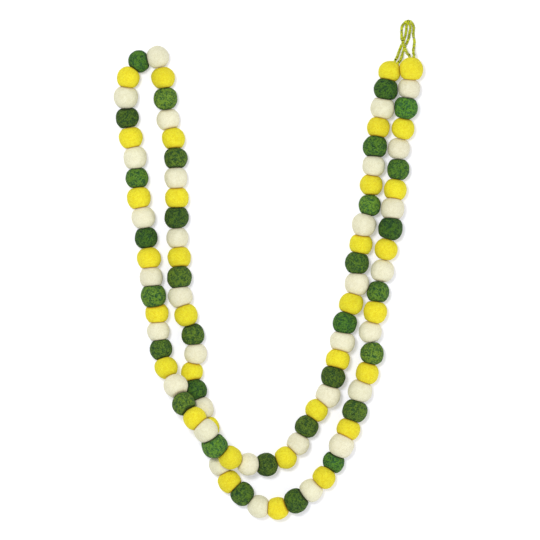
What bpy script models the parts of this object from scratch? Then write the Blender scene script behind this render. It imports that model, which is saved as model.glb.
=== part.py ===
"""Felt ball garland, lying folded in half on a flat surface.

Solid wool felt balls are threaded tight on one string that runs hidden through their middles, in the
repeat yellow, green, cream. Each end of the string carries a small loop of glass seed beads. The garland
is folded at its middle, at the left of the back edge, and both halves run forward, round a bend and up
the right side, where the two loops lie. Near the front left one half rides over the other.

The frame has +Z up from the surface, +Y towards the loops and +X to the right. The origin is on the
surface, under the middle of the outline of the balls. Lengths in the tables are in millimetres.
"""

import math
import random
from collections import namedtuple

import bmesh
import bpy
from mathutils import Matrix, Vector

MM = 0.001

# Driving dimensions, in millimetres
BALL_RADIUS = {"yellow": 12.75, "green": 12.6, "cream": 12.5}
RADIUS_SPREAD = 0.35
BARREL_POWER = 2.1
FLAT_DEPTH = 0.5  # how far the weight presses a ball flat on the surface
CROSSING_PRESS = 1.5  # how far two balls press into each other where the halves cross
LIFTED = 2.0  # a string course this far off the surface rides over the other half
STRING_NEIGHBOURS = 2  # balls this near along the string don't cross each other
BARREL_BULGE = 1.05  # no point of a barrel is further from its centre than this many radii
BEAD_STRAND_RADIUS = 1.6
LOOP_LEAD = 1.5  # a loop's straight start off its ball
SOLID_GAP = 0.3

# How finely the solids are cut
SEGMENTS_AROUND = 12
SEGMENTS_ALONG = 6
LOOP_STEP = 2.4
SNAP = 1e-7
SHARP_EDGE = math.radians(35)

REPEAT = tuple(BALL_RADIUS)
BALLS = 97
RANDOM_SEED = 47

# The course of the string. A row gives a ball's number, its place in plan, how far the string lifts it off
# the surface, and how far the balls just before and after it sit to the left of the smooth course. There is
# a row for about every third ball, and more where the string turns sharply or a ball sits out of line.
Station = namedtuple("Station", "ball x y lift before after")
COURSE = (
    Station(0, 131.5, 229, 0, 0, 0),
    Station(1, 127.9, 210, 0, 0, 0.5),
    Station(4, 116, 147.5, 0, 0, 0.5),
    Station(6, 112, 106.5, 0, 0, 0),
    Station(7, 110, 84, 0, 0, 0),
    Station(8, 103.5, 62.5, 0, 0, 0),
    Station(10, 96, 21.5, 0, 1, 4.5),
    Station(13, 83, -44, 0, 2.5, 1),
    Station(16, 70.5, -102.5, 0, -0.6, 3),
    Station(19, 41.2, -156.2, 0, 0.5, 0.5),
    Station(21, 18.7, -190, 0, 0, 0),
    Station(22, -2, -198, 0, 0, 0),
    Station(25, -57.4, -176.4, 25, 2, -4.7),
    Station(28, -91.9, -131, 19, -2.4, -1),
    Station(31, -117, -72, 0, 1, -1),
    Station(34, -125, -14, 0, -2, 0),
    Station(36, -130, 26.5, 0, 0, 0),
    Station(37, -133, 49, 0, 0, -0.3),
    Station(40, -143, 114, 0, 1.5, -2),
    Station(43, -153.5, 179, 0, -1.5, -0.4),
    Station(45, -152.9, 222.8, 0, 0, 0),
    Station(46, -140.8, 240.2, 0, 0, 0),
    Station(47, -120.7, 244.9, 0, 0, 0),
    Station(48, -114.9, 222.5, 0, 0, 0),
    Station(49, -112, 200, 0, 0, 0),
    Station(50, -109.1, 177.5, 0, 0, 0),
    Station(52, -101.5, 135, 0, 1.5, -0.7),
    Station(55, -100, 71, 0, 0.5, 0.3),
    Station(58, -97, 5.5, 0, 1.7, -2),
    Station(60, -89.5, -35, 0, 0, 0),
    Station(61, -82.3, -56.5, 0, 0, 0.9),
    Station(64, -80, -117, 0, -2, 3),
    Station(67, -59.5, -178, 0, 2, -1),
    Station(70, -28, -229.5, 0, -1.5, -2.4),
    Station(72, 10, -245, 0, 0, 0),
    Station(73, 30, -237, 0, 0, 0),
    Station(76, 70.6, -195.2, 0, -0.8, 0.8),
    Station(79, 93.2, -139.2, 0, 0, 0),
    Station(80, 99.2, -118, 0, 0, 0),
    Station(82, 112.5, -77, 0, 0, 0),
    Station(83, 110.7, -53.5, 0, 0, 0),
    Station(85, 119, -10, 0, -2, -0.1),
    Station(88, 132.5, 59, 0, 0.5, 0.7),
    Station(90, 138, 100.8, 0, 0, 0),
    Station(91, 141, 123, 0, 0, 2),
    Station(94, 149, 190, 0, 0, 0),
    Station(95, 152.6, 211, 0, 0, 0),
    Station(96, 155, 232, 1.5, 0, 0),
)

# Balls that were rolled clearly larger or smaller than the rest, by number, in radius
ODD_BALLS = {
    0: -0.5, 1: 0.6, 2: 0.8, 4: 0.7, 8: 1.2, 10: 1.0, 11: 0.5, 13: 0.7, 14: 0.7, 16: 0.7,
    17: 0.9, 18: -0.5, 20: -0.5, 22: 0.4, 23: -0.3, 25: 0.7, 26: 0.5, 29: 0.3, 34: 1.3, 35: 0.6,
    37: -0.5, 41: 0.4, 43: -0.4, 44: 0.5, 46: -0.9, 49: 0.7, 51: 0.3, 52: 0.5, 54: 0.3, 55: 0.4,
    56: -0.6, 58: 1.1, 59: 1.0, 61: -0.5, 62: -0.5, 63: -0.8, 64: 0.4, 66: -0.4, 67: 0.4,
    72: -0.5, 73: 0.7, 76: -0.5, 77: 1.1, 79: 0.9, 80: 0.7, 84: 0.4, 86: 0.4, 87: -0.6,
    88: 0.5, 89: 0.6, 90: 0.3, 91: -0.6, 94: 0.4, 96: 0.4,
}

# The two bead loops: which ball each leaves, the way out of that ball in plan, and the route between
Loop = namedtuple("Loop", "name ball way_out way_back route")
LOOPS = (
    Loop(
        "loop_start",
        0,
        (5.2, 10.6),
        (7.9, 8.4),
        (
            (139.6, 244.7, 9.2),
            (141.4, 249.9, 4.4),
            (143.7, 255.6, 1.9),
            (146.2, 261.2, 1.6),
            (148.3, 266.9, 1.6),
            (149.6, 271.9, 1.6),
            (150.0, 276.0, 1.6),
            (150.1, 279.6, 1.6),
            (150.5, 281.5, 1.6),
            (151.5, 282.8, 1.6),
            (152.9, 282.8, 1.6),
            (153.9, 281.5, 1.6),
            (154.3, 279.6, 1.6),
            (154.3, 276.0, 1.6),
            (153.7, 271.9, 1.6),
            (152.7, 267.1, 1.6),
            (150.8, 261.6, 1.6),
            (148.5, 256.6, 1.6),
            (146.6, 251.9, 1.8),
            (145.3, 246.9, 4.9),
            (143.7, 242.5, 9.3),
        ),
    ),
    Loop(
        "loop_end",
        96,
        (-1.6, 11.4),
        (2.6, 11.6),
        (
            (150.9, 249.3, 11.2),
            (148.9, 254.0, 7.2),
            (147.1, 258.7, 5.4),
            (145.8, 263.4, 5.1),
            (144.9, 268.4, 2.9),
            (144.6, 273.4, 1.6),
            (145.0, 277.9, 1.6),
            (147.0, 281.9, 3.4),
            (150.4, 284.5, 5.0),
            (154.0, 284.3, 5.0),
            (156.9, 281.6, 4.0),
            (158.1, 278.0, 2.0),
            (157.9, 273.6, 1.6),
            (158.0, 268.2, 1.6),
            (158.9, 263.0, 1.9),
            (158.6, 258.0, 4.2),
            (157.7, 253.2, 8.6),
            (157.7, 248.9, 12.8),
        ),
    ),
)

# Base colour, roughness and metallic value of each material
FINISHES = {
    "yellow": ((0.82, 0.72, 0.03), 0.95, 0.0),
    "green": ((0.06, 0.17, 0.03), 0.95, 0.0),
    "cream": ((0.85, 0.80, 0.60), 0.95, 0.0),
    "seed_beads": ((0.55, 0.66, 0.03), 0.15, 0.0),
}


def clear_scene():
    for obj in list(bpy.data.objects):
        bpy.data.objects.remove(obj, do_unlink=True)


def new_collection(name):
    collection = bpy.data.collections.new(name)
    bpy.context.scene.collection.children.link(collection)
    return collection


def new_material(name):
    colour, roughness, metallic = FINISHES[name]
    material = bpy.data.materials.new(name)
    material.use_nodes = True
    shader = material.node_tree.nodes["Principled BSDF"]
    shader.inputs["Base Color"].default_value = (*colour, 1.0)
    shader.inputs["Roughness"].default_value = roughness
    shader.inputs["Metallic"].default_value = metallic
    return material


def smooth_through(stations, points, at):
    """The point at station `at` on the cubic that passes through all the points, with three-point slopes."""
    last = len(points) - 1

    def chord(i):
        return (points[i + 1] - points[i]) / (stations[i + 1] - stations[i])

    def slope(i):
        if i == 0:
            return chord(0)
        if i == last:
            return chord(last - 1)
        before = stations[i] - stations[i - 1]
        after = stations[i + 1] - stations[i]
        return (chord(i - 1) * after + chord(i) * before) / (before + after)

    i = max(k for k in range(last) if stations[k] <= at or k == 0)
    span = stations[i + 1] - stations[i]
    u = (at - stations[i]) / span
    return (
        points[i] * ((1 + 2 * u) * (1 - u) ** 2)
        + slope(i) * (span * u * (1 - u) ** 2)
        + points[i + 1] * (u * u * (3 - 2 * u))
        + slope(i + 1) * (span * u * u * (u - 1))
    )


Ball = namedtuple("Ball", "number colour centre radius")


def sideways(course, number):
    """The unit vector in plan that points to the left of the string's course at a ball."""
    before = course[max(number - 1, 0)]
    after = course[min(number + 1, len(course) - 1)]
    along = after - before
    return Vector((-along.y, along.x, 0)).normalized()


def lay_out_balls():
    """Every ball of the string, with its colour, centre and radius in millimetres."""
    stations = [row.ball for row in COURSE]
    points = [Vector((row.x, row.y, row.lift)) for row in COURSE]
    course = [smooth_through(stations, points, number) for number in range(BALLS)]
    offsets = [0.0] * BALLS
    for row in COURSE:
        if row.before:
            offsets[row.ball - 1] = row.before
        if row.after:
            offsets[row.ball + 1] = row.after
    spread = random.Random(RANDOM_SEED)
    balls = []
    for number, place in enumerate(course):
        colour = REPEAT[number % len(REPEAT)]
        radius = BALL_RADIUS[colour] + spread.uniform(-RADIUS_SPREAD, RADIUS_SPREAD)
        radius += ODD_BALLS.get(number, 0.0)
        centre = place + sideways(course, number) * offsets[number]
        centre.z = max(place.z, 0.0) + radius - FLAT_DEPTH
        balls.append(Ball(number, colour, centre, radius))
    return [rested(ball, balls) if course[ball.number].z > LIFTED else ball for ball in balls]


def rested(ball, balls):
    """A ball of the upper half, raised where it would sink too far into a ball of the lower half."""
    centre = ball.centre.copy()
    for other in balls:
        if abs(other.number - ball.number) <= STRING_NEIGHBOURS:
            continue
        clear = ball.radius + other.radius - CROSSING_PRESS
        apart = math.dist(ball.centre.xy, other.centre.xy)
        if apart < clear:
            centre.z = max(centre.z, other.centre.z + math.sqrt(clear**2 - apart**2))
    return ball._replace(centre=centre)


def string_direction(balls, number):
    """The way the string runs through a ball, from the ball before it to the one after."""
    before = balls[max(number - 1, 0)].centre
    after = balls[min(number + 1, len(balls) - 1)].centre
    return (after - before).normalized()


def contact_plane(ball, other):
    """Point and outward normal of the flat where `ball` is pressed by `other`, half a gap short of it."""
    apart = other.centre - ball.centre
    share = 0.5 + (ball.radius**2 - other.radius**2) / (2 * apart.length_squared)
    normal = apart.normalized()
    return ball.centre + apart * share - normal * (SOLID_GAP / 2), normal


def flats_of(ball, balls, partners):
    """The planes that flatten a ball: the surface, and each touching ball that isn't one of its partners."""
    planes = [(Vector((0, 0, 0)), Vector((0, 0, -1)))]
    for other in balls:
        if other is ball or other in partners:
            continue
        reach = BARREL_BULGE * (ball.radius + other.radius)
        if (other.centre - ball.centre).length < reach:
            planes.append(contact_plane(ball, other))
    return planes


def barrel(direction):
    """Distance from the centre to a barrel's skin along a unit direction, the string running along Z."""
    along = abs(direction.z)
    across = math.hypot(direction.x, direction.y)
    return (along**BARREL_POWER + across**BARREL_POWER) ** (-1 / BARREL_POWER)


def ball_turn(balls, number):
    """The rotation that takes a barrel's own axis, along Z, to the string's direction at a ball."""
    forward = string_direction(balls, number)
    side = forward.cross(Vector((0, 0, 1))).normalized()
    return Matrix((side, forward.cross(side), forward)).transposed()


def ball_mesh(name, ball, balls, partners, materials):
    """A ball as a barrel along the string, cut flat by what it touches, about its own centre in metres."""
    form = bmesh.new()
    bmesh.ops.create_uvsphere(
        form, u_segments=SEGMENTS_AROUND, v_segments=SEGMENTS_ALONG, radius=1.0
    )
    turn = ball_turn(balls, ball.number)
    for vertex in form.verts:
        direction = vertex.co.normalized()
        vertex.co = turn @ direction * (barrel(direction) * ball.radius * MM)
    for point, normal in flats_of(ball, balls, partners):
        bmesh.ops.bisect_plane(
            form,
            geom=form.verts[:] + form.edges[:] + form.faces[:],
            dist=SNAP,
            plane_co=(point - ball.centre) * MM,
            plane_no=normal,
            clear_outer=True,
        )
        rim = [edge for edge in form.edges if edge.is_boundary]
        if rim:
            bmesh.ops.contextual_create(form, geom=rim)
    bmesh.ops.recalc_face_normals(form, faces=form.faces[:])
    mesh = bpy.data.meshes.new(name)
    form.to_mesh(mesh)
    form.free()
    for material in materials:
        mesh.materials.append(material)
    mesh.polygons.foreach_set("material_index", [REPEAT.index(ball.colour)] * len(mesh.polygons))
    mesh.shade_smooth()
    mesh.set_sharp_from_angle(angle=SHARP_EDGE)
    return mesh


def add_ball(name, ball, balls, partners, materials, collection, garland):
    obj = bpy.data.objects.new(name, ball_mesh(name, ball, balls, partners, materials))
    obj.location = ball.centre * MM
    obj.parent = garland
    collection.objects.link(obj)
    return obj


def add_repeat(name, trio, balls, materials, collection, joined, garland):
    """One repeat: the middle ball, joined with the ball before it and the ball after it."""
    first, middle, last = trio
    node = add_ball(name, middle, balls, trio, materials, collection, garland)
    for ball, place in ((first, "first"), (last, "last")):
        helper = add_ball(f"{name}_{place}", ball, balls, trio, materials, joined, garland)
        helper.hide_render = True
        helper.display_type = "WIRE"
        union = node.modifiers.new(f"join_{place}", "BOOLEAN")
        union.operation = "UNION"
        union.solver = "EXACT"
        union.object = helper
    return node


def loop_route(loop, balls):
    """The loop's points in millimetres: straight off the skin of its ball, along its route, and back."""
    ball = balls[loop.ball]
    turn = ball_turn(balls, loop.ball)

    def off_skin(way, distance):
        direction = Vector((*way, 0)).normalized()
        skin = barrel(turn.transposed() @ direction) * ball.radius
        return ball.centre + direction * (skin + distance)

    leave = [off_skin(loop.way_out, distance) for distance in (SOLID_GAP, SOLID_GAP + LOOP_LEAD)]
    arrive = [off_skin(loop.way_back, distance) for distance in (SOLID_GAP + LOOP_LEAD, SOLID_GAP)]
    rows = [*leave, *(Vector(row) for row in loop.route), *arrive]
    stations = [0.0]
    for here, there in zip(rows, rows[1:]):
        stations.append(stations[-1] + (there - here).length)
    steps = round(stations[-1] / LOOP_STEP)
    return [smooth_through(stations, rows, stations[-1] * k / steps) for k in range(steps + 1)]


def add_loop(loop, balls, material, collection, garland):
    """A strand of seed beads as one round tube."""
    points = loop_route(loop, balls)
    curve = bpy.data.curves.new(loop.name, "CURVE")
    curve.dimensions = "3D"
    curve.bevel_depth = BEAD_STRAND_RADIUS * MM
    curve.bevel_resolution = 2
    curve.use_fill_caps = True
    spline = curve.splines.new("POLY")
    spline.points.add(len(points) - 1)
    for place, point in zip(spline.points, points):
        place.co = (*(point - points[0]) * MM, 1.0)
    spline.use_smooth = True
    curve.materials.append(material)
    obj = bpy.data.objects.new(loop.name, curve)
    obj.location = points[0] * MM
    obj.parent = garland
    collection.objects.link(obj)


def main():
    clear_scene()
    collection = new_collection("pompom_garland")
    joined = new_collection("joined_balls")
    garland = bpy.data.objects.new("garland", None)
    collection.objects.link(garland)
    felts = [new_material(name) for name in REPEAT]
    beads = new_material("seed_beads")
    balls = lay_out_balls()
    size = len(REPEAT)
    for start in range(0, BALLS - size + 1, size):
        trio = balls[start : start + size]
        add_repeat(f"repeat_{start // size + 1:02d}", trio, balls, felts, collection, joined, garland)
    add_ball("end_ball", balls[-1], balls, (), felts, collection, garland)
    for loop in LOOPS:
        add_loop(loop, balls, beads, collection, garland)


main()
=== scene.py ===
"""Looks of the felt ball garland: 97 wool felt balls threaded tight on a hidden string, in the repeat yellow,
green, cream, with a small loop of glass seed beads at each end. It lies folded in half on a pale surface.

Sizes are worked out in millimetres and brought to metres where a mesh is made.
"""

import random

import bpy
import numpy as np
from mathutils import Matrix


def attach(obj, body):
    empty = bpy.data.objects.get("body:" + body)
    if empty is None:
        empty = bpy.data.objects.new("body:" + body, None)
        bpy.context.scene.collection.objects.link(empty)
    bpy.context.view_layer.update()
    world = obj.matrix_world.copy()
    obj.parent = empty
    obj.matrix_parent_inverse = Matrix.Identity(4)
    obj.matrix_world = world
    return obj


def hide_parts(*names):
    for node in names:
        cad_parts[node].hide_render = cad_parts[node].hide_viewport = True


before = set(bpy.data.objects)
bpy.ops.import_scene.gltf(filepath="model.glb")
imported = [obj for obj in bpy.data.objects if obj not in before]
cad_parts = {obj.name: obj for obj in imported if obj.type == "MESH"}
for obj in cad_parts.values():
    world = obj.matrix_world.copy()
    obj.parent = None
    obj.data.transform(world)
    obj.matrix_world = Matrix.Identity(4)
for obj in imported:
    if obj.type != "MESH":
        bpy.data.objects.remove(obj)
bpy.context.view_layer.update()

MM = 0.001


# The string: a strong thread that runs hidden through the middle of every ball, so its course gives each ball
# its place. It lies folded at ball 46, and near the front left its first half rides over its second half.

BALLS = 97
BALL_RADIUS = {"yellow": 12.75, "green": 12.6, "cream": 12.5}
COLOURS = tuple(BALL_RADIUS)
RADIUS_SPREAD = 0.35
RADIUS_SEED = 47
# Balls that measure larger or smaller than the rest in the photograph, by number, in radius
ODD_BALLS = {
    0: -0.5, 1: 0.6, 2: 0.8, 4: 0.7, 8: 1.2, 10: 1.0, 11: 0.5, 13: 0.7, 14: 0.7, 16: 0.7,
    17: 0.9, 18: -0.5, 20: -0.5, 22: 0.4, 23: -0.3, 25: 0.7, 26: 0.5, 29: 0.3, 34: 1.3, 35: 0.6,
    37: -0.5, 41: 0.4, 43: -0.4, 44: 0.5, 46: -0.9, 49: 0.7, 51: 0.3, 52: 0.5, 54: 0.3, 55: 0.4,
    56: -0.6, 58: 1.1, 59: 1.0, 61: -0.5, 62: -0.5, 63: -0.8, 64: 0.4, 66: -0.4, 67: 0.4,
    72: -0.5, 73: 0.7, 76: -0.5, 77: 1.1, 79: 0.9, 80: 0.7, 84: 0.4, 86: 0.4, 87: -0.6,
    88: 0.5, 89: 0.6, 90: 0.3, 91: -0.6, 94: 0.4, 96: 0.4,
}
FLAT_DEPTH = 0.5  # how far the weight presses a ball flat on the surface
CROSSING_PRESS = 1.5  # how far two balls press into each other where the halves cross
LIFTED = 2.0  # a course this far off the surface rides over the other half
STRING_NEIGHBOURS = 2  # balls this near along the string don't cross each other

# Ball, its place in plan, the string's lift, and how far the balls just before and after it sit to the left,
# fitted to the ball centres and edges measured on the photograph
COURSE = np.array(
    (
        (0, 131.5, 229, 0, 0, 0),
        (1, 127.9, 210, 0, 0, 0.5),
        (4, 116, 147.5, 0, 0, 0.5),
        (6, 112, 106.5, 0, 0, 0),
        (7, 110, 84, 0, 0, 0),
        (8, 103.5, 62.5, 0, 0, 0),
        (10, 96, 21.5, 0, 1, 4.5),
        (13, 83, -44, 0, 2.5, 1),
        (16, 70.5, -102.5, 0, -0.6, 3),
        (19, 41.2, -156.2, 0, 0.5, 0.5),
        (21, 18.7, -190, 0, 0, 0),
        (22, -2, -198, 0, 0, 0),
        (25, -57.4, -176.4, 25, 2, -4.7),
        (28, -91.9, -131, 19, -2.4, -1),
        (31, -117, -72, 0, 1, -1),
        (34, -125, -14, 0, -2, 0),
        (36, -130, 26.5, 0, 0, 0),
        (37, -133, 49, 0, 0, -0.3),
        (40, -143, 114, 0, 1.5, -2),
        (43, -153.5, 179, 0, -1.5, -0.4),
        (45, -152.9, 222.8, 0, 0, 0),
        (46, -140.8, 240.2, 0, 0, 0),
        (47, -120.7, 244.9, 0, 0, 0),
        (48, -114.9, 222.5, 0, 0, 0),
        (49, -112, 200, 0, 0, 0),
        (50, -109.1, 177.5, 0, 0, 0),
        (52, -101.5, 135, 0, 1.5, -0.7),
        (55, -100, 71, 0, 0.5, 0.3),
        (58, -97, 5.5, 0, 1.7, -2),
        (60, -89.5, -35, 0, 0, 0),
        (61, -82.3, -56.5, 0, 0, 0.9),
        (64, -80, -117, 0, -2, 3),
        (67, -59.5, -178, 0, 2, -1),
        (70, -28, -229.5, 0, -1.5, -2.4),
        (72, 10, -245, 0, 0, 0),
        (73, 30, -237, 0, 0, 0),
        (76, 70.6, -195.2, 0, -0.8, 0.8),
        (79, 93.2, -139.2, 0, 0, 0),
        (80, 99.2, -118, 0, 0, 0),
        (82, 112.5, -77, 0, 0, 0),
        (83, 110.7, -53.5, 0, 0, 0),
        (85, 119, -10, 0, -2, -0.1),
        (88, 132.5, 59, 0, 0.5, 0.7),
        (90, 138, 100.8, 0, 0, 0),
        (91, 141, 123, 0, 0, 2),
        (94, 149, 190, 0, 0, 0),
        (95, 152.6, 211, 0, 0, 0),
        (96, 155, 232, 1.5, 0, 0),
    ),
    float,
)


def unit(vectors):
    """The vectors, each divided by its own length."""
    return vectors / np.linalg.norm(vectors, axis=-1, keepdims=True)


def smooth_through(stations, points, at):
    """Points at the stations `at` on the cubic that passes through all the points.

    Between points p and q, a span h apart, with slopes m and n and u from 0 to 1, the place is
    p (1 + 2u)(1 - u)^2 + m h u (1 - u)^2 + q u^2 (3 - 2u) + n h u^2 (u - 1). A slope is the mean of the two
    chords that meet at a point, each weighted by the other's span.
    """
    span = np.diff(stations)[:, None]
    chord = np.diff(points, axis=0) / span
    inner = (chord[:-1] * span[1:] + chord[1:] * span[:-1]) / (span[:-1] + span[1:])
    slope = np.vstack((chord[:1], inner, chord[-1:]))
    i = np.clip(np.searchsorted(stations, at, side="right") - 1, 0, len(stations) - 2)
    h = span[i]
    u = (np.asarray(at) - stations[i])[:, None] / h
    return (
        points[i] * (1 + 2 * u) * (1 - u) ** 2
        + slope[i] * h * u * (1 - u) ** 2
        + points[i + 1] * u**2 * (3 - 2 * u)
        + slope[i + 1] * h * u**2 * (u - 1)
    )


def around(line):
    """The way from the point before each point of a line to the point after it, as unit vectors."""
    ends = np.pad(line, ((1, 1), (0, 0)), mode="edge")
    return unit(ends[2:] - ends[:-2])


def ball_places():
    """Radius and centre of every ball in millimetres, on the course or as high as the balls under it need."""
    sizes = random.Random(RADIUS_SEED)
    spread = [sizes.uniform(-RADIUS_SPREAD, RADIUS_SPREAD) for _ in range(BALLS)]
    radius = np.resize([BALL_RADIUS[colour] for colour in COLOURS], BALLS) + spread
    for ball, extra in ODD_BALLS.items():
        radius[ball] += extra
    centre = smooth_through(COURSE[:, 0], COURSE[:, 1:4], np.arange(BALLS))
    lifted = centre[:, 2] > LIFTED
    ahead = around(centre * (1, 1, 0))
    for column, step in ((4, -1), (5, 1)):
        rows = COURSE[COURSE[:, column] != 0]
        ball = rows[:, 0].astype(int) + step
        centre[ball, 0] -= ahead[ball, 1] * rows[:, column]
        centre[ball, 1] += ahead[ball, 0] * rows[:, column]
    centre[:, 2] = np.maximum(centre[:, 2], 0) + radius - FLAT_DEPTH
    clear = radius[:, None] + radius - CROSSING_PRESS
    apart = np.linalg.norm(centre[:, None, :2] - centre[:, :2], axis=2)
    steps = np.abs(np.subtract.outer(np.arange(BALLS), np.arange(BALLS)))
    over = lifted[:, None] & (steps > STRING_NEIGHBOURS) & (apart < clear)
    rest = centre[:, 2] + np.sqrt(np.maximum(clear**2 - apart**2, 0))
    centre[:, 2] = np.maximum(centre[:, 2], np.where(over, rest, 0).max(axis=1))
    return radius, centre


RADIUS, CENTRE = ball_places()
AHEAD = around(CENTRE)


# The felt balls: wool fibre rolled wet with soap until it felts into a firm ball of about 25 mm, then pierced
# and pushed tight along the string. Each is a little out of round, squashed against its neighbours.

BARREL_POWER = 2.1
BARREL_BULGE = 1.05
TOUCH_GAP = 0.06  # between the skins of two balls that press on each other
RIM_ROUNDING = 0.4  # how softly a pressed flat turns into the round skin
CREASE_SHADE_FADE = 0.8  # how far from a pressed flat the shade painted into the crease reaches
CREVICE_SHADE_FADE = 2.2  # the same between the two halves of the garland, where shade is painted into the crevice
CREVICE_SHADE_REACH = 1.5  # gap between balls of the two halves up to which shade is painted between them
ROWS, COLUMNS = 44, 60
WAVES = ((6, 2.1, 0.011), (14, 4.5, 0.004), (26, 11.0, 0.0016))  # how many, lobes round the ball, height
SWING, LEAN = 5.0, 11.0  # how far a pressed flat is turned in plan and leant over, in degrees
HAIRS = 240
HAIR_POINTS = 5
HAIR_SIDES = 3
HAIR_SINK = 0.02  # how deep a hair starts in the skin
FLOOR_CLEAR = 0.02  # how far fine pieces stay above the surface

felt_random = np.random.default_rng(31)


def turned(vectors, axis, degrees):
    """The vectors turned about an axis square to them: v cos a + (axis x v) sin a."""
    angle = np.radians(degrees)[..., None]
    return vectors * np.cos(angle) + np.cross(axis, vectors) * np.sin(angle)


def pressed_flats():
    """For every pair of touching balls: the two numbers, and the point and normal of the flat between them.

    The point is on the line between the centres, where the two spheres would cross. The normal runs from the
    first ball to the second, and is turned a little, as no two balls are pressed quite squarely.
    """
    first, second = np.triu_indices(BALLS, 1)
    gap = CENTRE[second] - CENTRE[first]
    apart = np.linalg.norm(gap, axis=1)
    touch = apart < BARREL_BULGE * (RADIUS[first] + RADIUS[second])
    first, second, gap, apart = first[touch], second[touch], gap[touch], apart[touch]
    share = 0.5 + (RADIUS[first] ** 2 - RADIUS[second] ** 2) / (2 * apart**2)
    point = CENTRE[first] + gap * share[:, None]
    normal = unit(gap)
    upright = np.array((0.0, 0.0, 1.0))
    across = unit(np.cross(normal, upright))
    threaded = second - first == 1
    swing = felt_random.normal(0, SWING / 2, len(first)) * threaded
    lean = felt_random.uniform(-LEAN, LEAN, len(first)) * threaded
    normal = turned(normal, across, lean)
    normal = turned(normal, np.cross(across, normal), swing)
    return first, second, point, normal


FIRST, SECOND, FLAT_POINT, FLAT_NORMAL = pressed_flats()


def wave_set():
    """Random waves for one ball's unevenness: directions with their numbers of lobes, phases and heights."""
    ways, phases, heights = [], [], []
    for count, lobes, height in WAVES:
        ways.append(unit(felt_random.normal(size=(count, 3))) * lobes)
        phases.append(felt_random.uniform(0, 2 * np.pi, count))
        heights.append(height * felt_random.uniform(0.5, 1.5, count))
    return np.concatenate(ways), np.concatenate(phases), np.concatenate(heights)


WAVE_SETS = [wave_set() for _ in range(BALLS)]


def flats_on(ball):
    """Outward normal, and distance from the centre, of each flat that presses a ball: the surface's first."""
    flats = [(np.array((0.0, 0.0, -1.0)), CENTRE[ball, 2])]
    for mine, sign in ((FIRST, 1), (SECOND, -1)):
        for k in np.flatnonzero(mine == ball):
            normal = sign * FLAT_NORMAL[k]
            flats.append((normal, (FLAT_POINT[k] - CENTRE[ball]) @ normal - TOUCH_GAP / 2))
    return flats


def skin(ball, ways, lift=0.0):
    """Distance from a ball's centre to its skin along unit vectors, with `lift` added to the free skin.

    Free skin: radius (|a|^p + s^p)^(-1/p) (1 + sum of h cos(k.w + phase)), with a along the string, s square
    to it and p the barrel power. A flat cuts it off at its distance / (w.n), and the two are joined by the
    soft least value -r log(sum of exp(-x / r)), with r the rounding of the rim.
    """
    waves, phases, heights = WAVE_SETS[ball]
    along = np.abs(ways @ AHEAD[ball])
    square = np.sqrt(np.maximum(1 - along**2, 0))
    barrel = (along**BARREL_POWER + square**BARREL_POWER) ** (-1 / BARREL_POWER)
    uneven = 1 + np.cos(ways @ waves.T + phases) @ heights
    limits = [RADIUS[ball] * barrel * uneven + lift]
    for normal, distance in flats_on(ball):
        limits.append(distance / np.maximum(ways @ normal, 0.02))
    limits = np.stack(limits)
    least = limits.min(axis=0)
    return least - RIM_ROUNDING * np.log(np.exp((least - limits) / RIM_ROUNDING).sum(axis=0))


def crease_shade_near(ball, points):
    """How near points are to what presses on their ball or lies close beside it, as the share of painted
    shade there: exp(-d / fade), the largest of them all.

    For a flat, d is the way down to it. For a ball of the other half, d is the way to that ball's sphere.
    """
    own = points - CENTRE[ball]
    near = [(distance - own @ normal) / CREASE_SHADE_FADE for normal, distance in flats_on(ball)[1:]]
    gaps = np.linalg.norm(CENTRE - CENTRE[ball], axis=1) - RADIUS - RADIUS[ball]
    # Balls of the other half that lie close get shade painted into the crevice between them
    shading_balls = (gaps < CREVICE_SHADE_REACH) & (np.abs(np.arange(BALLS) - ball) > STRING_NEIGHBOURS)
    for other in np.flatnonzero(shading_balls):
        near.append((np.linalg.norm(points - CENTRE[other], axis=1) - RADIUS[other]) / CREVICE_SHADE_FADE)
    return np.exp(-np.maximum(np.min(near, axis=0), 0))


def axes_of(ball):
    """A ball's own axes as rows: across the string, upwards, and along the string."""
    side = unit(np.cross(AHEAD[ball], (0, 0, 1)))
    return np.stack((side, np.cross(side, AHEAD[ball]), AHEAD[ball]))


def ball_grid():
    """Unit vectors of a ball's grid about its own axes, both poles included, and its faces.

    Row v is at the angle pi v from the pole, with v = t - 0.035 sin(4 pi t) for t from 0 to 1, which brings
    the rows closer together at the rims of the two pressed flats. Column u is at the angle 2 pi u round the
    string.
    """
    t = np.linspace(0, 1, ROWS)[1:-1]
    polar = np.pi * (t - 0.035 * np.sin(4 * np.pi * t))[:, None]
    round_it = np.linspace(0, 2 * np.pi, COLUMNS, endpoint=False)
    ring = np.sin(polar) * np.cos(round_it), np.sin(polar) * np.sin(round_it), np.cos(polar) + 0 * round_it
    ways = np.vstack(((0, 0, 1), np.stack(ring, axis=-1).reshape(-1, 3), (0, 0, -1)))
    here = np.arange(COLUMNS)
    there = (here + 1) % COLUMNS
    starts = 1 + COLUMNS * np.arange(ROWS - 3)[:, None]
    below = starts + COLUMNS
    quads = np.stack((starts + here, below + here, below + there, starts + there), axis=-1)
    last = 1 + COLUMNS * (ROWS - 3)
    top = np.stack((np.zeros(COLUMNS, int), 1 + here, 1 + there), axis=-1)
    foot = np.stack((last + there, last + here, np.full(COLUMNS, len(ways) - 1)), axis=-1)
    return ways, quads.reshape(-1, 4), np.vstack((top, foot))


GRID_WAYS, GRID_QUADS, GRID_TRIANGLES = ball_grid()


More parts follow.
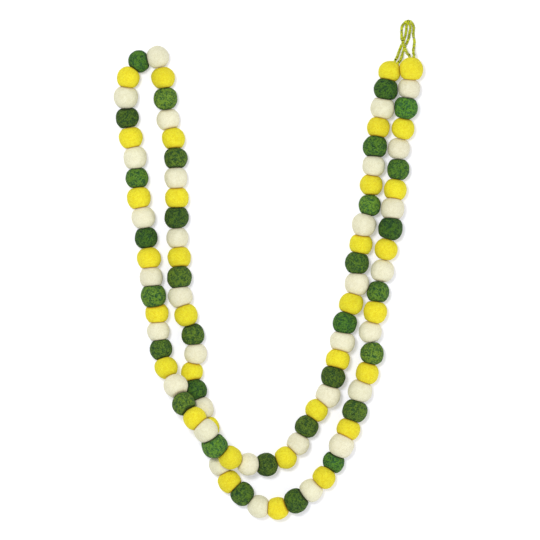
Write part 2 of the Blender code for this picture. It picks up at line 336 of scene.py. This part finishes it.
def hair_tubes(ball):
    """Loose wool hairs of one ball: thin tapering tubes that leave the skin and end free or come back to it.

    A hair starts at a random unit vector w and turns towards a random direction square to it, which itself
    bends sideways on the way. Its height above the skin is a sin(pi s b) for s from 0 to 1, where b is 1 for
    a hair that comes back to the skin and about a half for one that ends free.
    """
    start = unit(felt_random.normal(size=(HAIRS, 3)))
    way = unit(np.cross(start, felt_random.normal(size=(HAIRS, 3))))
    side = np.cross(start, way)
    s = np.linspace(0, 1, HAIR_POINTS)
    reach = felt_random.uniform(0.10, 0.30, HAIRS)[:, None] * s
    bend = felt_random.normal(0, 0.09, HAIRS)[:, None] * s**2
    ways = unit(start[:, None] + way[:, None] * reach[..., None] + side[:, None] * bend[..., None])
    shape = felt_random.choice((1.0, 0.55), HAIRS)[:, None]
    height = felt_random.uniform(0.05, 0.62, HAIRS)[:, None] ** 1.4 * np.sin(np.pi * s * shape)
    line = CENTRE[ball] + ways * (skin(ball, ways, height - HAIR_SINK))[..., None]
    along = unit(np.gradient(line, axis=1))
    outward = unit(np.cross(along, np.cross(ways, along)))
    sideways = np.cross(along, outward)
    thick = felt_random.uniform(0.028, 0.045, HAIRS)[:, None] * (1 - 0.75 * s)
    turn = np.arange(HAIR_SIDES) * 2 * np.pi / HAIR_SIDES
    ring = outward[:, :, None] * np.cos(turn)[:, None] + sideways[:, :, None] * np.sin(turn)[:, None]
    points = (line[:, :, None] + ring * thick[..., None, None]).reshape(-1, 3)
    points[:, 2] = np.maximum(points[:, 2], FLOOR_CLEAR)
    hair = HAIR_POINTS * HAIR_SIDES * np.arange(HAIRS)[:, None, None]
    step = HAIR_SIDES * np.arange(HAIR_POINTS - 1)[:, None]
    here, there = np.arange(HAIR_SIDES), (np.arange(HAIR_SIDES) + 1) % HAIR_SIDES
    corners = (step + here, step + there, step + HAIR_SIDES + there, step + HAIR_SIDES + here)
    quads = np.stack([hair + corner for corner in corners], axis=-1).reshape(-1, 4)
    end = HAIR_SIDES * (HAIR_POINTS - 1)
    caps = np.array(((2, 1, 0), (end, end + 1, end + 2)))
    return points, quads, (hair + caps).reshape(-1, 3)


def mesh_piece(name, points, quads, triangles, material, attributes):
    """An object at the origin from points in millimetres, four-cornered faces and three-cornered faces."""
    mesh = bpy.data.meshes.new(name)
    mesh.vertices.add(len(points))
    mesh.vertices.foreach_set("co", (points * MM).astype(np.float32).ravel())
    corners = np.concatenate((quads.ravel(), triangles.ravel()))
    starts = np.concatenate((4 * np.arange(len(quads)), 4 * len(quads) + 3 * np.arange(len(triangles))))
    mesh.loops.add(len(corners))
    mesh.loops.foreach_set("vertex_index", corners.astype(np.int32))
    mesh.polygons.add(len(starts))
    mesh.polygons.foreach_set("loop_start", starts.astype(np.int32))
    mesh.update(calc_edges=True)
    mesh.shade_smooth()
    for label, (kind, values) in attributes.items():
        field = "vector" if kind == "FLOAT_VECTOR" else "value"
        layer = mesh.attributes.new(label, kind, "POINT")
        layer.data.foreach_set(field, values.astype(np.float32).ravel())
    mesh.materials.append(material)
    piece = bpy.data.objects.new(name, mesh)
    bpy.context.scene.collection.objects.link(piece)
    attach(piece, "root")
    return piece


def add_ball(ball, material):
    """One felt ball with its hairs. Each point keeps its turned place on the ball, for the wool's pattern."""
    ways = GRID_WAYS @ axes_of(ball)
    points = CENTRE[ball] + ways * skin(ball, ways)[:, None]
    hairs, hair_quads, hair_caps = hair_tubes(ball)
    hair_quads, hair_caps = hair_quads + len(points), hair_caps + len(points)
    everything = np.vstack((points, hairs))
    turn = np.linalg.qr(felt_random.normal(size=(3, 3)))[0]
    wool = (everything - CENTRE[ball]) @ turn + felt_random.uniform(-400, 400, 3)
    loose = np.repeat((0.0, 1.0), (len(points), len(hairs)))
    shade = np.full(len(everything), felt_random.uniform())
    # Painted shade in the creases where balls press and in the crevice between the two halves
    pressed = crease_shade_near(ball, everything)
    piece = mesh_piece(
        f"ball_{ball:02d}",
        everything,
        np.vstack((GRID_QUADS, hair_quads)),
        np.vstack((GRID_TRIANGLES, hair_caps)),
        material,
        {
            "wool": ("FLOAT_VECTOR", wool),
            "loose": ("FLOAT", loose),
            "shade": ("FLOAT", shade),
            "pressed": ("FLOAT", pressed),
        },
    )
    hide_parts("end_ball" if ball == BALLS - 1 else f"repeat_{ball // 3 + 1:02d}")


# Wool felt, dyed in the fleece, so each ball is a mix of slightly different fibres. They lie in combed swirls
# that turn over each other, with darker hollows between them and paler single hairs on top.


SWIRL_SCALE, SWIRL_REACH = 0.14, 15.0  # turns of the combed wool: how close together, and how far they carry
LENGTHWISE, CROSSWISE = (4.6, 0.7, 0.7), (0.6, 0.8, 4.2)  # the two ways in which the fibres are drawn out
FIBRE_SCALE, FIBRE_DETAIL, FIBRE_ROUGHNESS = 0.6, 5.0, 0.7
SWITCH_SCALE = 0.17  # patches in which the fibres run one way or the other
CLOUD_SCALE, PIT_SCALE, FINE_SCALE = 0.3, 0.72, 2.4
FELT_GRAIN = 0.09  # how much lighter or darker single fibres are than the felt round them, as a share
LOOSE_PALE, CREASE_SHADE_SHARE = 0.4, 0.7  # share of pale in a loose hair, and of the painted crease shade where balls press or lie close
DYE_STEPS = 7.0  # makes a ball's hue a second chance number, out of its shade
FELT_RELIEF = 0.00022


def linear(red, green, blue):
    """A colour given as 0 to 255 on a screen, as the renderer counts light."""
    screen = np.array((red, green, blue)) / 255
    light = np.where(screen < 0.04045, screen / 12.92, ((screen + 0.055) / 1.055) ** 2.4)
    return (*light.tolist(), 1.0)


class Nodes:
    """Adds nodes to a new material and links what is given as another node's output."""

    def __init__(self, name):
        self.material = bpy.data.materials.new(name)
        self.material.use_nodes = True
        self.tree = self.material.node_tree
        self.shader = self.tree.nodes["Principled BSDF"]

    def add(self, kind, inputs, output=0, **settings):
        node = self.tree.nodes.new("ShaderNode" + kind)
        for key, value in settings.items():
            setattr(node, key, value)
        for key, value in inputs.items():
            self.set(node, key, value)
        return node.outputs[output]

    def set(self, node, key, value):
        if isinstance(value, bpy.types.NodeSocket):
            self.tree.links.new(value, node.inputs[key])
        else:
            node.inputs[key].default_value = value

    def finish(self, **inputs):
        for key, value in inputs.items():
            self.set(self.shader, key.replace("_", " "), value)
        return self.material


def blended(nodes, share, low, high):
    """The colour `low`, going over to `high` as share goes from 0 to 1."""
    return nodes.add("Mix", {"Factor": share, "A": low, "B": high}, 2, data_type="RGBA")


def ranged(nodes, value, low, high, to_low=0.0, to_high=1.0):
    """The value between low and high, brought to the range to_low to to_high with soft ends."""
    inputs = {"Value": value, "From Min": low, "From Max": high, "To Min": to_low, "To Max": to_high}
    return nodes.add("MapRange", inputs, interpolation_type="SMOOTHSTEP")


def wool_felt(name, ground, deep, pale, dark, crease_shade_colour, patch, streak, spots, vary, turn, sheen):
    """Felt from fibres of a ground colour, with deep patches, pale streaks and dark hollows, given as shares.

    The crease colour is painted shade, laid on where balls press on each other and where the two halves lie
    close.
    `vary` is how much lighter or darker one ball may be, as a share, and `turn` is how far its hue may turn
    to either side, as a share of the colour circle.
    """
    nodes = Nodes(name)
    place = nodes.add("Attribute", {}, "Vector", attribute_name="wool")
    loose = nodes.add("Attribute", {}, "Fac", attribute_name="loose")
    shade = nodes.add("Attribute", {}, "Fac", attribute_name="shade")
    pressed = nodes.add("Attribute", {}, "Fac", attribute_name="pressed")
    swirl = nodes.add("TexNoise", {"Vector": place, "Scale": SWIRL_SCALE, "Detail": 2.0}, "Color")
    swirl = nodes.add("VectorMath", {0: swirl, 1: (0.5, 0.5, 0.5)}, operation="SUBTRACT")
    swirl = nodes.add("VectorMath", {0: swirl, "Scale": SWIRL_REACH}, operation="SCALE")
    combed = nodes.add("VectorMath", {0: place, 1: swirl}, operation="ADD")
    lengthwise = nodes.add("VectorMath", {0: combed, 1: LENGTHWISE}, operation="MULTIPLY")
    crosswise = nodes.add("VectorMath", {0: combed, 1: CROSSWISE}, operation="MULTIPLY")
    fibre = {"Scale": FIBRE_SCALE, "Detail": FIBRE_DETAIL, "Roughness": FIBRE_ROUGHNESS}
    first = nodes.add("TexNoise", {"Vector": lengthwise, **fibre})
    second = nodes.add("TexNoise", {"Vector": crosswise, **fibre})
    which = nodes.add("TexNoise", {"Vector": place, "Scale": SWITCH_SCALE, "Detail": 1.0})
    which = ranged(nodes, which, 0.46, 0.54)
    fibres = nodes.add("Mix", {"Factor": which, "A": first, "B": second}, 0, data_type="FLOAT")
    clouds = nodes.add("TexNoise", {"Vector": combed, "Scale": CLOUD_SCALE, "Detail": 3.0, "Roughness": 0.6})
    pits = nodes.add("TexNoise", {"Vector": place, "Scale": PIT_SCALE, "Detail": 2.0, "Roughness": 0.55})
    colour = blended(nodes, ranged(nodes, clouds, 0.57, 0.42, 0, patch), linear(*ground), linear(*deep))
    colour = blended(nodes, ranged(nodes, fibres, 0.5, 0.64, 0, streak), colour, linear(*pale))
    colour = blended(nodes, ranged(nodes, pits, 0.46, 0.33, 0, spots), colour, linear(*dark))
    colour = blended(nodes, ranged(nodes, loose, 0, 1, 0, LOOSE_PALE), colour, linear(*pale))
    # Painted shade in the creases and crevices
    colour = blended(nodes, ranged(nodes, pressed, 0, 1, 0, CREASE_SHADE_SHARE), colour, linear(*crease_shade_colour))
    fine = nodes.add("TexNoise", {"Vector": combed, "Scale": FINE_SCALE, "Detail": 4.0, "Roughness": 0.7})
    value = ranged(nodes, shade, 0, 1, 1 - vary, 1 + vary)
    grain = ranged(nodes, fine, 0.36, 0.64, 1 - FELT_GRAIN, 1 + FELT_GRAIN)
    value = nodes.add("Math", {0: value, 1: grain}, operation="MULTIPLY")
    dye = nodes.add("Math", {0: shade, 1: DYE_STEPS}, operation="MULTIPLY")
    dye = nodes.add("Math", {0: dye}, operation="FRACT")
    hue = ranged(nodes, dye, 0, 1, 0.5 + turn, 0.5 - turn)
    colour = nodes.add("HueSaturation", {"Hue": hue, "Value": value, "Color": colour})
    height = nodes.add("Math", {0: fibres, 1: 1.6, 2: fine}, operation="MULTIPLY_ADD")
    height = nodes.add("Math", {0: pits, 1: 1.2, 2: height}, operation="MULTIPLY_ADD")
    bump = nodes.add("Bump", {"Strength": 0.55, "Distance": FELT_RELIEF, "Height": height})
    rough = ranged(nodes, fibres, 0.3, 0.7, 0.98, 0.86)
    return nodes.finish(
        Base_Color=colour,
        Roughness=rough,
        Normal=bump,
        Sheen_Weight=sheen,
        Sheen_Roughness=0.5,
        Sheen_Tint=linear(*pale),
        Specular_IOR_Level=0.25,
    )


# The yellow balls: lemon yellow wool, evenly dyed, a shade deeper in the hollows of the felt.

YELLOW = wool_felt(
    "yellow_felt",
    ground=(224, 214, 40),
    deep=(214, 197, 28),
    pale=(235, 229, 80),
    dark=(204, 178, 24),
    # the painted shade in the creases and crevices
    crease_shade_colour=(204, 150, 14),
    patch=0.8,
    streak=0.6,
    spots=0.4,
    vary=0.045,
    turn=0.003,
    sheen=0.18,
)
for ball in range(0, BALLS, 3):
    add_ball(ball, YELLOW)


# The green balls: grass green wool mixed with blue green and yellow green fibres, which makes them mottled.

GREEN = wool_felt(
    "green_felt",
    ground=(80, 116, 30),
    deep=(27, 68, 34),
    pale=(112, 150, 62),
    dark=(20, 40, 10),
    # the painted shade in the creases and crevices
    crease_shade_colour=(10, 22, 5),
    patch=1.0,
    streak=0.7,
    spots=0.85,
    vary=0.34,
    turn=0.018,
    sheen=0.05,
)
for ball in range(1, BALLS, 3):
    add_ball(ball, GREEN)


# The cream balls: undyed wool, very smooth and even, with a faint yellow cast.

CREAM = wool_felt(
    "cream_felt",
    ground=(225, 222, 193),
    deep=(216, 211, 178),
    pale=(234, 232, 208),
    dark=(206, 199, 168),
    # the painted shade in the creases and crevices
    crease_shade_colour=(210, 190, 146),
    patch=0.7,
    streak=0.55,
    spots=0.4,
    vary=0.035,
    turn=0.005,
    sheen=0.28,
)
for ball in range(2, BALLS, 3):
    add_ball(ball, CREAM)


# The bead loops: each end of the string carries a strand of shiny chartreuse glass seed beads, looped
# back into its ball. They hang the garland up. A thin thread runs through the beads.

BEAD_STRAND_RADIUS = 1.6
SOLID_GAP = 0.3
LOOP_LEAD = 1.5  # a loop's straight start off its ball
THREAD_ROOT = 2.0  # how far the thread goes on into the ball
THREAD_RADIUS = 0.42
BEAD_PITCH = 2.02
BEAD_HALF_LENGTH = 0.98
BEAD_HOLE = 0.5
BEAD_SIDES, BEAD_PROFILE = 14, 10
BEAD_TILT = 0.22  # how much a bead leans on its thread, in radians
BEAD_SHIFT = 0.14  # how far a bead sits off the strand's line
BEAD_SPACING = 0.08  # how far it slides along it
END_SHADE_SHARE = 0.8  # share of the deep colour painted as shade at a bead's two ends
LOOPS = {
    "bead_loop_start": (
        "loop_start",
        0,
        (5.2, 10.6),
        (7.9, 8.4),
        (
            (139.6, 244.7, 9.2),
            (141.4, 249.9, 4.4),
            (143.7, 255.6, 1.9),
            (146.2, 261.2, 1.6),
            (148.3, 266.9, 1.6),
            (149.6, 271.9, 1.6),
            (150.0, 276.0, 1.6),
            (150.1, 279.6, 1.6),
            (150.5, 281.5, 1.6),
            (151.5, 282.8, 1.6),
            (152.9, 282.8, 1.6),
            (153.9, 281.5, 1.6),
            (154.3, 279.6, 1.6),
            (154.3, 276.0, 1.6),
            (153.7, 271.9, 1.6),
            (152.7, 267.1, 1.6),
            (150.8, 261.6, 1.6),
            (148.5, 256.6, 1.6),
            (146.6, 251.9, 1.8),
            (145.3, 246.9, 4.9),
            (143.7, 242.5, 9.3),
        ),
    ),
    "bead_loop_end": (
        "loop_end",
        96,
        (-1.6, 11.4),
        (2.6, 11.6),
        (
            (150.9, 249.3, 11.2),
            (148.9, 254.0, 7.2),
            (147.1, 258.7, 5.4),
            (145.8, 263.4, 5.1),
            (144.9, 268.4, 2.9),
            (144.6, 273.4, 1.6),
            (145.0, 277.9, 1.6),
            (147.0, 281.9, 3.4),
            (150.4, 284.5, 5.0),
            (154.0, 284.3, 5.0),
            (156.9, 281.6, 4.0),
            (158.1, 278.0, 2.0),
            (157.9, 273.6, 1.6),
            (158.0, 268.2, 1.6),
            (158.9, 263.0, 1.9),
            (158.6, 258.0, 4.2),
            (157.7, 253.2, 8.6),
            (157.7, 248.9, 12.8),
        ),
    ),
}

bead_random = np.random.default_rng(5)


def lengths_along(points):
    """Distance along a line to each of its points."""
    return np.concatenate(([0], np.cumsum(np.linalg.norm(np.diff(points, axis=0), axis=1))))


def strand_line(ball, way_out, way_back, route):
    """The middle line of a strand, a point every 0.2 mm: straight off the ball, along the route, and back."""
    ways = unit(np.array(((*way_out, 0.0), (*way_back, 0.0))))
    along = np.abs(ways @ AHEAD[ball])[:, None]
    square = np.sqrt(1 - along**2)
    skin_at = RADIUS[ball] * (along**BARREL_POWER + square**BARREL_POWER) ** (-1 / BARREL_POWER)
    near = CENTRE[ball] + ways * (skin_at + SOLID_GAP)
    off = CENTRE[ball] + ways * (skin_at + SOLID_GAP + LOOP_LEAD)
    rows = np.vstack((near[0], off[0], route, off[1], near[1]))
    stations = lengths_along(rows)
    line = smooth_through(stations, rows, np.linspace(0, stations[-1], round(stations[-1] / 0.2)))
    roots = near - ways * THREAD_ROOT
    return line, roots


def bead_rings():
    """One bead about the thread, along Z, as a ring section turned round it.

    Profile angle a: distance from the thread m + b cos a |cos a|^(-1/3), and place along it
    h sin a |sin a|^(-1/3), which gives the rounded, slightly square section of a cut and fire polished tube.
    """
    a = np.linspace(0, 2 * np.pi, BEAD_PROFILE, endpoint=False)
    softened_cos = np.sign(np.cos(a)) * np.abs(np.cos(a)) ** (2 / 3)
    softened_sin = np.sign(np.sin(a)) * np.abs(np.sin(a)) ** (2 / 3)
    middle = (BEAD_STRAND_RADIUS + BEAD_HOLE) / 2
    out = middle + (BEAD_STRAND_RADIUS - BEAD_HOLE) / 2 * softened_cos
    along = BEAD_HALF_LENGTH * softened_sin
    round_it = np.linspace(0, 2 * np.pi, BEAD_SIDES, endpoint=False)[:, None]
    points = np.stack((out * np.cos(round_it), out * np.sin(round_it), along + 0 * round_it), axis=-1)
    side = BEAD_PROFILE * np.arange(BEAD_SIDES)[:, None]
    next_side = np.roll(side, -1, axis=0)
    here, there = np.arange(BEAD_PROFILE), np.roll(np.arange(BEAD_PROFILE), -1)
    quads = np.stack((side + here, next_side + here, next_side + there, side + there), axis=-1)
    return points.reshape(-1, 3), quads.reshape(-1, 4)


def tube_along(line, radius, sides):
    """A closed round tube along a line: circles square to the line, and a point at each end."""
    along = around(line)
    side = unit(np.cross(along, (0.0, 0.0, 1.0)))
    lift = np.cross(side, along)
    turn = np.linspace(0, 2 * np.pi, sides, endpoint=False)[:, None]
    rings = line[:, None] + radius * (side[:, None] * np.cos(turn) + lift[:, None] * np.sin(turn))
    points = np.vstack((rings.reshape(-1, 3), line[0], line[-1]))
    here, there = np.arange(sides), np.roll(np.arange(sides), -1)
    step = sides * np.arange(len(line) - 1)[:, None]
    quads = np.stack((step + here, step + sides + here, step + sides + there, step + there), axis=-1)
    first, last, end = len(points) - 2, len(points) - 1, sides * (len(line) - 1)
    near_cap = np.stack((here, there, np.full(sides, first)), axis=-1)
    far_cap = np.stack((end + there, end + here, np.full(sides, last)), axis=-1)
    return points, quads.reshape(-1, 4), np.vstack((near_cap, far_cap))


def seed_bead_glass():
    """Chartreuse glass, each bead a little different, with lighter streaks painted as highlights and painted
    shade in the hole and at the ends of each bead; the thread is all the deep colour.
    """
    nodes = Nodes("seed_bead_glass")
    tint = nodes.add("Attribute", {}, "Fac", attribute_name="tint")
    depth = nodes.add("Attribute", {}, "Fac", attribute_name="depth")
    place = nodes.add("TexCoord", {}, "Object")
    glint_streaks = nodes.add("TexNoise", {"Vector": place, "Scale": 900.0, "Detail": 2.0})
    colour = blended(nodes, tint, linear(146, 154, 2), linear(206, 214, 16))
    # Lighter streaks painted as highlights on the glass
    colour = blended(nodes, ranged(nodes, glint_streaks, 0.48, 0.66, 0, 0.8), colour, linear(224, 234, 60))
    # Painted shade in each bead's hole and at its ends; the thread takes this deep colour all over as its own
    colour = blended(nodes, ranged(nodes, depth, 0.0, 1.0, 0, 0.9), colour, linear(84, 88, 2))
    rough = ranged(nodes, glint_streaks, 0.3, 0.7, 0.14, 0.26)
    bump = nodes.add("Bump", {"Strength": 0.1, "Distance": 0.0001, "Height": glint_streaks})
    return nodes.finish(
        Base_Color=colour,
        Roughness=rough,
        Normal=bump,
        IOR=1.45,
        Transmission_Weight=0.1,
        Specular_IOR_Level=0.2,
    )


GLASS = seed_bead_glass()


def add_bead_loop(name, node, ball, way_out, way_back, route):
    """A strand of single beads on its thread, as one piece."""
    line, roots = strand_line(ball, way_out, way_back, route)
    stations = lengths_along(line)
    count = int((stations[-1] - 2 * BEAD_HALF_LENGTH) / BEAD_PITCH) + 1
    at = np.linspace(BEAD_HALF_LENGTH, stations[-1] - BEAD_HALF_LENGTH, count)
    at = at + bead_random.uniform(-BEAD_SPACING, BEAD_SPACING, count)
    middle = np.stack([np.interp(at, stations, line[:, axis]) for axis in range(3)], axis=1)
    ahead = np.stack([np.interp(at, stations, around(line)[:, axis]) for axis in range(3)], axis=1)
    ahead = unit(ahead + bead_random.normal(0, BEAD_TILT / 2, (count, 3)))
    middle += bead_random.normal(0, BEAD_SHIFT, (count, 3)) * (1, 1, 0)
    side = unit(np.cross(ahead, (0.0, 0.0, 1.0)))
    lift = np.cross(side, ahead)
    ring, ring_quads = bead_rings()
    scale = bead_random.uniform((0.98, 0.98, 0.94), (1.1, 1.1, 1.03), (count, 3))
    own = scale[..., None] * np.stack((side, lift, ahead), axis=1)
    beads = (middle[:, None] + ring @ own).reshape(-1, 3)
    quads = (ring_quads + len(ring) * np.arange(count)[:, None, None]).reshape(-1, 4)
    thread = np.vstack((roots[0], line[::4], line[-1], roots[1]))
    thread_points, thread_quads, thread_caps = tube_along(thread, THREAD_RADIUS, 6)
    points = np.vstack((beads, thread_points))
    points[:, 2] = np.maximum(points[:, 2], FLOOR_CLEAR)
    from_thread = np.linalg.norm(ring[:, :2], axis=1)
    inward = (BEAD_STRAND_RADIUS - from_thread) / (BEAD_STRAND_RADIUS - BEAD_HOLE)
    endward = np.abs(ring[:, 2]) / BEAD_HALF_LENGTH
    # Painted shade inside the hole and at the two ends of each bead
    bead_shade = np.maximum(inward, END_SHADE_SHARE * endward**3)
    depth = np.concatenate((np.tile(bead_shade, count), np.ones(len(thread_points))))
    bead_tint = bead_random.uniform(0, 1, count)
    tint = np.concatenate((np.repeat(bead_tint, len(ring)), np.zeros(len(thread_points))))
    piece = mesh_piece(
        name,
        points,
        np.vstack((quads, thread_quads + len(beads))),
        thread_caps + len(beads),
        GLASS,
        {"tint": ("FLOAT", tint), "depth": ("FLOAT", depth)},
    )
    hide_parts(node)


for name, loop in LOOPS.items():
    add_bead_loop(name, *loop)


# The surface, the light and the camera: the garland lies on a plain white board. A soft light stands above
# it, a little to its left and back, and a wide low one fills from the front right. A long lens looks
# straight down.

FRAME_WIDTH = 540 * 1.087 * MM  # the photograph's width at the height of the balls' middles
FRAME_CENTRE = (1.6 * MM, 13.8 * MM)
CAMERA_HEIGHT = 5.0
SENSOR = 36.0
BOARD_HALF = 12.0
WORLD_LIGHT = 0.56


def add_surface():
    """A wide flat board."""
    half = BOARD_HALF
    corners = [(-half, -half, 0), (half, -half, 0), (half, half, 0), (-half, half, 0)]
    mesh = bpy.data.meshes.new("surface")
    mesh.from_pydata(corners, [], [(0, 1, 2, 3)])
    board = bpy.data.objects.new("surface", mesh)
    bpy.context.scene.collection.objects.link(board)
    nodes = Nodes("white_board")
    place = nodes.add("TexCoord", {}, "Object")
    grain = nodes.add("TexNoise", {"Vector": place, "Scale": 300.0, "Detail": 2.0})
    bump = nodes.add("Bump", {"Strength": 0.03, "Distance": 0.0005, "Height": grain})
    mesh.materials.append(
        nodes.finish(
            Base_Color=(0.7, 0.7, 0.77, 1),
            Roughness=0.9,
            Normal=bump,
            Specular_IOR_Level=0.1,
            Emission_Color=(1, 1, 1, 1),
            Emission_Strength=0.34,
        )
    )


def add_light(name, place, size, power):
    """A square lamp that shines at the middle of the garland."""
    lamp = bpy.data.lights.new(name, "AREA")
    lamp.size = size
    lamp.energy = power
    obj = bpy.data.objects.new(name, lamp)
    obj.location = place
    obj.rotation_euler = (-obj.location).to_track_quat("-Z", "Y").to_euler()
    obj.visible_camera = False
    bpy.context.scene.collection.objects.link(obj)


def add_camera():
    """The camera, straight above, with the photograph's framing at the height of the balls' middles."""
    lens = bpy.data.cameras.new("camera")
    lens.sensor_width = SENSOR
    lens.lens = SENSOR * (CAMERA_HEIGHT - BALL_RADIUS["cream"] * MM) / FRAME_WIDTH
    lens.clip_end = 100
    camera = bpy.data.objects.new("camera", lens)
    camera.location = (*FRAME_CENTRE, CAMERA_HEIGHT)
    bpy.context.scene.collection.objects.link(camera)
    bpy.context.scene.camera = camera


add_surface()
add_light("soft_key", (-0.46, 0.46, 2.6), 0.5, 42.5)
add_light("low_fill", (1.6, -1.6, 1.0), 2.0, 18)
add_camera()
world = bpy.data.worlds.new("studio")
world.use_nodes = True
world.node_tree.nodes["Background"].inputs["Color"].default_value = (1, 1, 1, 1)
world.node_tree.nodes["Background"].inputs["Strength"].default_value = WORLD_LIGHT
bpy.context.scene.world = world
bpy.context.scene.view_settings.view_transform = "Standard"
